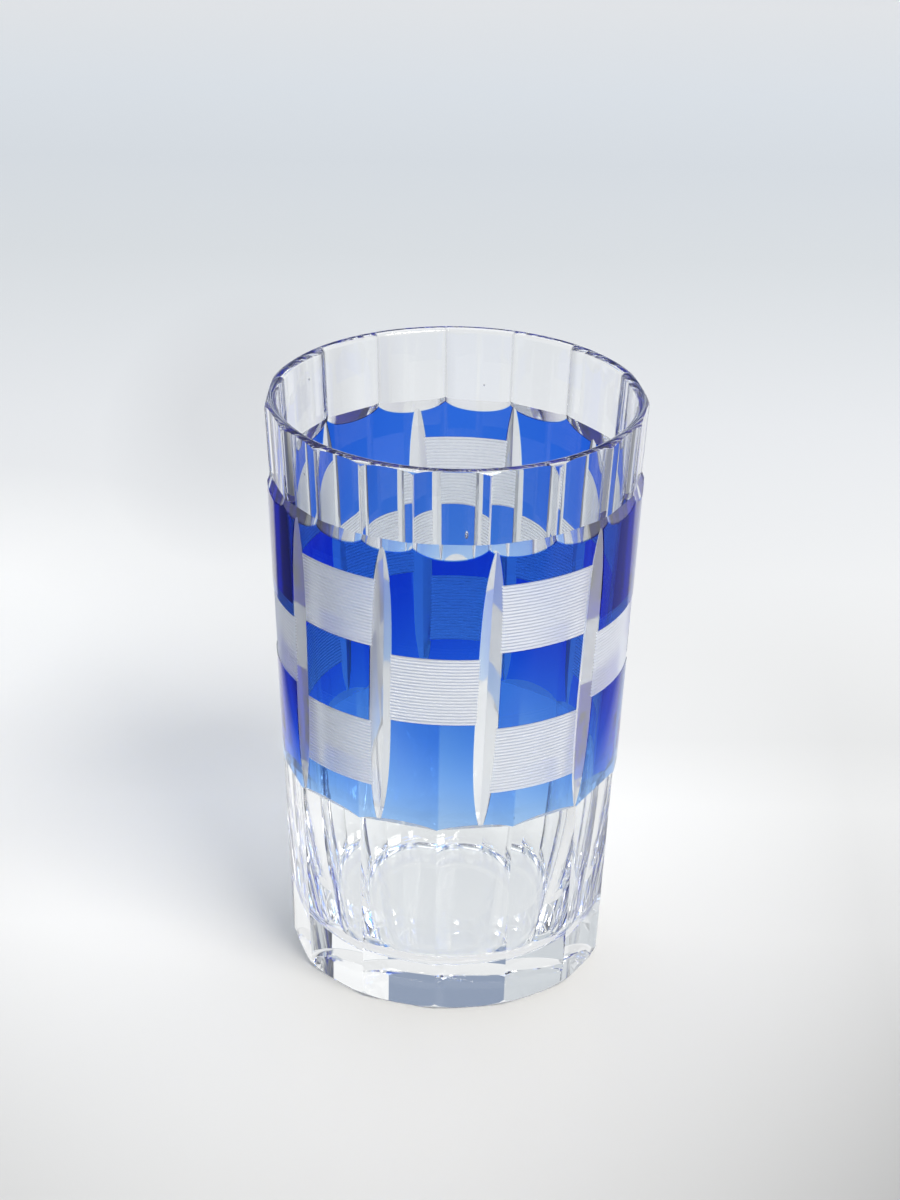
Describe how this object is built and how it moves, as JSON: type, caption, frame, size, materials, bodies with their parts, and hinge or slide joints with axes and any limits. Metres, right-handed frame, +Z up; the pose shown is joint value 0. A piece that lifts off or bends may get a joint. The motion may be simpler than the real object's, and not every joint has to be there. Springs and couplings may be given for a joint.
{
  "type": "tumbler",
  "caption": "Tapered cut glass tumbler with a thick foot, fluted mouth, faceted base and a blue overlay cut into a checker of panels.",
  "frame": {"origin": "middle of the foot's flat resting face", "axes": "+Z up along the axis of the cup to its mouth, -Y towards the side that the picture shows"},
  "size_m": [0.0686, 0.0683, 0.11],
  "materials": {
    "clear_glass": "polished",
    "blue_glass": "polished"
  },
  "bodies": {
    "root": {"clear_cup": "clear_glass", "blue_panel_01_lower": "blue_glass", "blue_panel_01_upper": "blue_glass", "blue_panel_02_lower": "blue_glass", "blue_panel_02_middle": "blue_glass", "blue_panel_02_upper": "blue_glass", "blue_panel_03_lower": "blue_glass", "blue_panel_03_upper": "blue_glass", "blue_panel_04_lower": "blue_glass", "blue_panel_04_middle": "blue_glass", "blue_panel_04_upper": "blue_glass", "blue_panel_05_lower": "blue_glass", "blue_panel_05_upper": "blue_glass", "blue_panel_06_lower": "blue_glass", "blue_panel_06_middle": "blue_glass", "blue_panel_06_upper": "blue_glass", "blue_panel_07_lower": "blue_glass", "blue_panel_07_upper": "blue_glass", "blue_panel_08_lower": "blue_glass", "blue_panel_08_middle": "blue_glass", "blue_panel_08_upper": "blue_glass", "blue_panel_09_lower": "blue_glass", "blue_panel_09_upper": "blue_glass", "blue_panel_10_lower": "blue_glass", "blue_panel_10_middle": "blue_glass", "blue_panel_10_upper": "blue_glass"}
  },
  "joints": []
}
